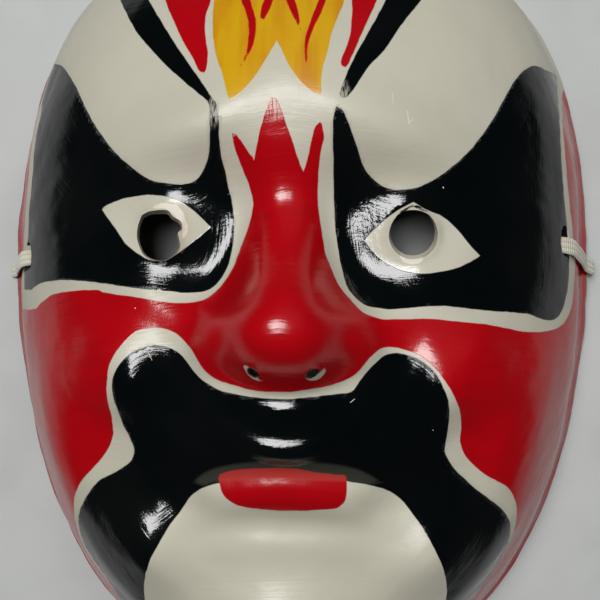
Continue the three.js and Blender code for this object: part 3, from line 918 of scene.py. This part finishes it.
def paint_layers(points, pixels):
    """For each layer of paint, how deep inside it each point of the shell is, in pixels. The torn paper is
    partly a painted highlight, and the lip sheen is a painted reflection.
    """
    left_patch = depth_above(LEFT_EYE_PATCH, PATCH_EDGE_HEIGHT, points, pixels)
    left_border = depth_above(LEFT_EYE_BORDER, BORDER_EDGE_HEIGHT, points, pixels)
    black = widest([RIGHT_EYE_PATCH, MUZZLE_PATCH, LEFT_BROW, RIGHT_BROW], pixels)
    return {
        "red_ground": widest([RED_GROUND], pixels),
        "cream_border": np.maximum(left_border, widest([RIGHT_EYE_BORDER, MUZZLE_BORDER], pixels)),
        "black": np.maximum(left_patch, black),
        "cream_over": widest([CHIN_PANEL, *NOSTRIL_EDGES], pixels),
        "eye_white": widest([LEFT_EYE_WHITE, RIGHT_EYE_WHITE], pixels),
        "torn_glint": widest(TORN_PAPER_GLINTS, pixels),
        "yellow": widest([FLAME], pixels),
        "red_over": widest([LEFT_TEAR, RIGHT_TEAR, LOWER_LIP, *FLAME_VEINS], pixels),
        "black_over": widest([EYELID_CRACK], pixels),
        "painted_lip_sheen": widest([PAINTED_LIP_SHEEN], pixels),
    }


def across_strokes(points, pixels):
    """Place across the brush strokes in metres. They follow a black patch's outline or run sideways."""
    patches = (LEFT_EYE_PATCH, RIGHT_EYE_PATCH, MUZZLE_PATCH)
    depth = np.maximum.reduce([depth_inside(runs, pixels, STROKE_REACH) for runs in patches])
    sideways = points[:, 1] + STROKE_SLOPE * np.abs(points[:, 0])
    return np.where(depth > 0, depth * PIXEL_SIZE, sideways) * MM


def strongest(spots, pixels):
    """From 0 to 1, how far into the nearest of some oval spots each point is."""
    most = np.zeros(len(pixels))
    for x, y, half_width, half_height, strength in spots:
        reach = ((pixels[:, 0] - x) / half_width) ** 2 + ((pixels[:, 1] - y) / half_height) ** 2
        most = np.maximum(most, (1 - reach) * strength)
    return most


def bareness(points, outer):
    """How bare the walls of the eye holes are: the paint ends a little way down."""
    bare = np.zeros(len(points))
    face_points = outer.reshape(-1, 3)
    for outline in hole_shapes():
        middle = outline.mean(axis=0)
        around = np.flatnonzero(np.hypot(*(points[:, :2] - middle).T) < EYE_HOLE_RADIUS)
        close = face_points[np.hypot(*(face_points[:, :2] - middle).T) < EYE_HOLE_RADIUS + 4]
        for k in around:
            nearest = np.argmin(np.sum((close[:, :2] - points[k, :2]) ** 2, axis=1))
            down = close[nearest, 2] - points[k, 2]
            bare[k] = np.clip((down - PAINT_RUNS_IN) / PAINT_FADES, 0, 1)
    return bare


def feed(tree, socket, value):
    """Gives a socket a number or a colour, or links another node's output to it."""
    if isinstance(value, bpy.types.NodeSocket):
        tree.links.new(value, socket)
    else:
        socket.default_value = value


def node(tree, kind, inputs=None, **settings):
    """A shader node whose inputs are numbers, colours or other nodes' outputs."""
    made = tree.nodes.new("ShaderNode" + kind)
    for name, value in settings.items():
        setattr(made, name, value)
    for key, value in (inputs or {}).items():
        feed(tree, made.inputs[key], value)
    return made


def new_material(name):
    material = bpy.data.materials.new(name)
    material.use_nodes = True
    return material, material.node_tree, material.node_tree.nodes["Principled BSDF"]


def coat(tree, surface, colour, roughness, bumps=()):
    """Colour and roughness of a surface, and bumps on it, from pairs of a pattern and its height."""
    feed(tree, surface.inputs["Base Color"], colour)
    feed(tree, surface.inputs["Roughness"], roughness)
    normal = None
    for pattern, height in bumps:
        bump = node(tree, "Bump", {"Height": pattern, "Strength": 1.0, "Distance": height * MM})
        if normal is not None:
            tree.links.new(normal, bump.inputs["Normal"])
        normal = bump.outputs["Normal"]
    if normal is not None:
        tree.links.new(normal, surface.inputs["Normal"])


def place(tree, stretch=(1, 1, 1)):
    """The point's place in metres, squeezed by a factor on each axis."""
    coordinates = node(tree, "TexCoord").outputs["Object"]
    return node(tree, "Mapping", {"Vector": coordinates, "Scale": stretch}).outputs["Vector"]


def noise(tree, scale, stretch=(1, 1, 1), detail=2.0, rough=0.5):
    """Noise with about as many lumps to the metre as its scale says."""
    inputs = {"Vector": place(tree, stretch), "Scale": scale, "Detail": detail, "Roughness": rough}
    return node(tree, "TexNoise", inputs).outputs["Fac"]


def math_node(tree, operation, a, b=0.0, c=0.0, clamp=False):
    return node(tree, "Math", {0: a, 1: b, 2: c}, operation=operation, use_clamp=clamp).outputs[0]


def vector_node(tree, operation, output, inputs):
    return node(tree, "VectorMath", inputs, operation=operation).outputs[output]


def spread(tree, value, low, high):
    """Smooth step from 0 to 1 between two limits of a value."""
    limits = {"Value": value, "From Min": low, "From Max": high}
    return node(tree, "MapRange", limits, interpolation_type="SMOOTHSTEP").outputs["Result"]


def mix_colour(tree, share, first, second):
    """Mix of two colours, which a mix node takes as its inputs 6 and 7."""
    return node(tree, "Mix", {0: share, 6: first, 7: second}, data_type="RGBA").outputs[2]


def mix_value(tree, share, first, second):
    return node(tree, "Mix", {0: share, 2: first, 3: second}, data_type="FLOAT").outputs[0]


def field(tree, name):
    return node(tree, "Attribute", attribute_name=name).outputs["Fac"]


def brush_marks(tree, scale, along):
    """Fine ridges that follow the strokes, as noise squeezed to a fraction along them."""
    slow = node(tree, "SeparateXYZ", {0: place(tree, (along, along, along))}).outputs
    where = node(tree, "CombineXYZ", {0: field(tree, "brush"), 1: slow[0], 2: slow[1]})
    fine = {"Vector": where.outputs[0], "Scale": scale, "Detail": 3.0, "Roughness": 0.6}
    return node(tree, "TexNoise", fine).outputs["Fac"]


def scratched(tree):
    """From 0 to 1, how much a scratch or a speck covers each place."""
    where = place(tree, (1, 1, 0))
    most = 0.0
    for x, y, end_x, end_y, half_width in SCRATCHES:
        run = Vector((end_x - x, end_y - y, 0)) * MM
        ahead = vector_node(tree, "SUBTRACT", "Vector", {0: where, 1: (x * MM, y * MM, 0)})
        passed = {0: ahead, 1: run / run.length_squared}
        share = vector_node(tree, "DOT_PRODUCT", "Value", passed)
        held = {0: run, "Scale": math_node(tree, "ADD", share, clamp=True)}
        nearest = vector_node(tree, "SCALE", "Vector", held)
        distance = vector_node(tree, "DISTANCE", "Value", {0: ahead, 1: nearest})
        cover = spread(tree, distance, half_width * MM, half_width * MM / 2)
        most = math_node(tree, "MAXIMUM", most, cover)
    return most


def paints(tree, blotches, broad_marks):
    """Colours of the cream, red, black and yellow paint, each a little uneven."""
    worn = math_node(tree, "MULTIPLY_ADD", blotches, 0.35, field(tree, "stain"), clamp=True)
    brushed = math_node(tree, "MULTIPLY", spread(tree, broad_marks, 0.35, 0.7), 0.3)
    streaks = spread(tree, noise(tree, 160, (1, 0.08, 0.3), 3), 0.38, 0.66)
    return (
        mix_colour(tree, worn, CREAM, CREAM_WORN_AND_SHEEN),
        mix_colour(tree, brushed, RED, RED_DEEP),
        mix_colour(tree, blotches, BLACK, BLACK_WORN),
        mix_colour(tree, streaks, YELLOW, OCHRE),
    )


def paint_over(tree, cream, red, black, yellow):
    """Colour, roughness and height of the layers of paint, one over another. The torn paper's pale layer is
    partly a painted highlight.
    """
    waver = math_node(tree, "MULTIPLY_ADD", noise(tree, 260, detail=3), 2.0, -1.0)
    bristles = spread(tree, noise(tree, 1900, (1, 0.09, 1), detail=1), 0.3, 0.7)
    # Dry strokes thin the paint. At the red middle prong's tip the thinning also paints a sheen.
    thin = math_node(tree, "MULTIPLY", spread(tree, field(tree, "dry_and_sheen"), 0, 0.9), bristles)
    opacity = math_node(tree, "MULTIPLY_ADD", thin, -DRY_AND_SHEEN_STRENGTH, 1.0)
    colour, roughness, height = cream, CREAM_ROUGHNESS, 0.0
    for name, paint, paint_roughness, paint_height in (
        ("red_ground", red, RED_ROUGHNESS, 1.0),
        ("cream_border", cream, CREAM_ROUGHNESS, 0.0),
        ("black", black, BLACK_ROUGHNESS, 1.0),
        ("cream_over", cream, CREAM_ROUGHNESS, 0.0),
        ("eye_white", cream, EYE_WHITE_ROUGHNESS, 0.0),
        # Torn paper, paler as a painted highlight
        ("torn_glint", PALE_TORN_GLINT, EYE_WHITE_ROUGHNESS, 0.0),
        ("yellow", yellow, CREAM_ROUGHNESS, 1.0),
        ("red_over", red, RED_ROUGHNESS, 1.0),
        ("black_over", black, BLACK_ROUGHNESS, -1.0),
    ):
        depth = math_node(tree, "ADD", field(tree, name), waver)
        covered = spread(tree, depth, -EDGE_SOFTNESS, EDGE_SOFTNESS)
        share = math_node(tree, "MULTIPLY", covered, opacity)
        colour = mix_colour(tree, share, colour, paint)
        roughness = mix_value(tree, share, roughness, paint_roughness)
        height = mix_value(tree, share, height, paint_height)
    return colour, roughness, height


def enamel():
    """Gloss paint in flat colours, with the brush's marks, scratches and bare pulp in it, and painted
    glints, a painted sheen and a painted reflection in its colour.
    """
    material, tree, surface = new_material("gloss_enamel")
    patches = noise(tree, 28, detail=3)
    marks = brush_marks(tree, 1100, 0.07)
    broad_marks = brush_marks(tree, 330, 0.12)
    kinds = paints(tree, spread(tree, patches, 0.35, 0.7), broad_marks)
    colour, roughness, height = paint_over(tree, *kinds)
    # Pale scratches and specks: wear, and partly painted glints
    colour = mix_colour(tree, scratched(tree), colour, SCRATCH_AND_GLINT)
    # Painted reflection: a faint grey sheen of worn cream above the lower lip
    painted_lip_sheen = math_node(tree, "MULTIPLY", spread(tree, field(tree, "painted_lip_sheen"), -1.5, 3), LIP_SHEEN_STRENGTH)
    colour = mix_colour(tree, painted_lip_sheen, colour, CREAM_WORN_AND_SHEEN)
    bare = field(tree, "bare")
    colour = mix_colour(tree, bare, colour, BARE_PULP)
    roughness = mix_value(tree, bare, roughness, BARE_ROUGHNESS)
    shifts = math_node(tree, "MULTIPLY_ADD", patches, 0.08, -0.04)
    surface.inputs["IOR"].default_value = ENAMEL_IOR
    crumpled = math_node(tree, "MULTIPLY", noise(tree, 650, detail=3), field(tree, "crumple"))
    coat(tree, surface, colour, math_node(tree, "ADD", roughness, shifts), (
        (height, PAINT_STEP), (marks, FINE_MARKS), (broad_marks, BROAD_MARKS),
        (noise(tree, 240), DENTS), (noise(tree, 1500), GRAIN), (crumpled, CREASES),
    ))
    return material


def raw_pulp():
    """Bare pressed pulp: pale grey brown, flecked and fibrous."""
    material, tree, surface = new_material("raw_pulp")
    blotch = spread(tree, noise(tree, 45, detail=4), 0.3, 0.7)
    flecks = spread(tree, noise(tree, 1500, detail=1), 0.66, 0.72)
    fibres = noise(tree, 700, (1, 0.25, 1), detail=5, rough=0.65)
    colour = mix_colour(tree, blotch, PULP, PULP_PALE)
    colour = mix_colour(tree, math_node(tree, "MULTIPLY", flecks, 0.6), colour, PULP_FLECKS)
    coat(tree, surface, colour, PULP_ROUGHNESS, [(fibres, PULP_FIBRES)])
    return material


def braid():
    """Braided elastic: pale threads that cross each rib, darker along the weave as painted shade between
    the threads.
    """
    material, tree, surface = new_material("braided_elastic")
    waves = {"Vector": place(tree), "Scale": 480, "Distortion": 2.0, "Detail": 2.0}
    weave = node(tree, "TexWave", waves).outputs["Fac"]
    soil = spread(tree, noise(tree, 120, detail=4), 0.35, 0.75)
    colour = mix_colour(tree, soil, ELASTIC, ELASTIC_SOILED)
    # Painted shade: darker along the weave, between the threads
    colour = mix_colour(tree, math_node(tree, "MULTIPLY", weave, 0.25), colour, ELASTIC_GAP_SHADE)
    surface.inputs["Sheen Weight"].default_value = 0.25
    coat(tree, surface, colour, ELASTIC_ROUGHNESS, [(weave, THREADS)])
    return material


def add_fields(shell, outer):
    """Gives each point of the shell its depth in the layers of paint and in the worn spots; some of them
    are painted highlights, a painted sheen and a painted reflection.
    """
    places = np.empty(len(shell.data.vertices) * 3)
    shell.data.vertices.foreach_get("co", places)
    places = places.reshape(-1, 3) / MM
    pixels = np.stack(to_pixels(places), axis=1)
    fields = paint_layers(places, pixels)
    fields["brush"] = across_strokes(places, pixels)
    # Dry strokes. The one at the red middle prong's tip is also a painted sheen.
    fields["dry_and_sheen"] = strongest(DRY_STROKES_AND_SHEEN, pixels)
    fields["stain"] = strongest(STAINS, pixels)
    fields["crumple"] = hole_rise(places[:, 0], places[:, 1]) + strongest(CRUMPLED_SPOTS, pixels)
    fields["bare"] = bareness(places, outer)
    for name, values in fields.items():
        layer = shell.data.attributes.new(name, "FLOAT", "POINT")
        layer.data.foreach_set("value", values.astype(np.float32))


def add_shell():
    outer, inner = shell_lattices()
    points, faces, painted_faces = shell_mesh(outer, inner)
    shell = add_mesh("painted_shell", points, faces)
    shell.data.materials.append(enamel())
    shell.data.materials.append(raw_pulp())
    rim = 2 * (ROWS + COLUMNS)
    indices = np.ones(len(faces), int)
    indices[:painted_faces] = 0
    first_rim = len(faces) - rim * len(RIM_SECTION) - rim // 2 * 3
    indices[first_rim : first_rim + rim * PAINTED_STRIPS] = 0
    shell.data.polygons.foreach_set("material_index", indices)
    cut_holes(shell)
    shell.data.shade_smooth()
    shell.data.set_sharp_from_angle(angle=SHELL_CREASE)
    add_fields(shell, outer)
    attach(shell, "root")
    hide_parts("mask_shell")


def add_floor():
    """Pale floor that grows darker away from the mask, as it would out of the light."""
    material, tree, surface = new_material("pale_floor")
    distance = vector_node(tree, "LENGTH", "Value", {0: place(tree)})
    tone = spread(tree, noise(tree, 30, detail=5), 0.3, 0.7)
    pale = mix_colour(tree, tone, FLOOR, FLOOR_PALE)
    colour = mix_colour(tree, spread(tree, distance, 0.15, 0.5), pale, FLOOR_FAR)
    coat(tree, surface, colour, FLOOR_ROUGHNESS)
    corners = [(x * FLOOR_REACH, y * FLOOR_REACH, 0) for x, y in ((-1, -1), (1, -1), (1, 1), (-1, 1))]
    floor = add_mesh("floor", corners, [(0, 1, 2, 3)])
    floor.data.materials.append(material)
    floor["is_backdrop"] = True


def add_light(name, at, size, power, mirrored):
    """Soft box that faces the mask."""
    data = bpy.data.lights.new(name, "AREA")
    data.shape = "RECTANGLE"
    data.size, data.size_y = size
    data.energy = power
    light = new_object(name, data)
    light.location = at
    light.rotation_euler = (Vector((0, 0, 0)) - Vector(at)).to_track_quat("-Z", "Y").to_euler()
    light.visible_glossy = mirrored


def add_lights():
    for name, settings in LIGHTS.items():
        add_light(name, *settings)
    world = bpy.data.worlds.new("studio")
    world.use_nodes = True
    sky = world.node_tree.nodes["Background"]
    sky.inputs["Color"].default_value = SKY
    sky.inputs["Strength"].default_value = SKY_STRENGTH
    bpy.context.scene.world = world
    bpy.context.scene.view_settings.view_transform = "Standard"


add_camera()
strap = add_strap()
strap.data.materials.append(braid())
add_shell()
add_floor()
add_lights()

boxes = {"cad": cad_box, "visual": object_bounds()}
{name: [list(corner) for corner in box] for name, box in boxes.items()}
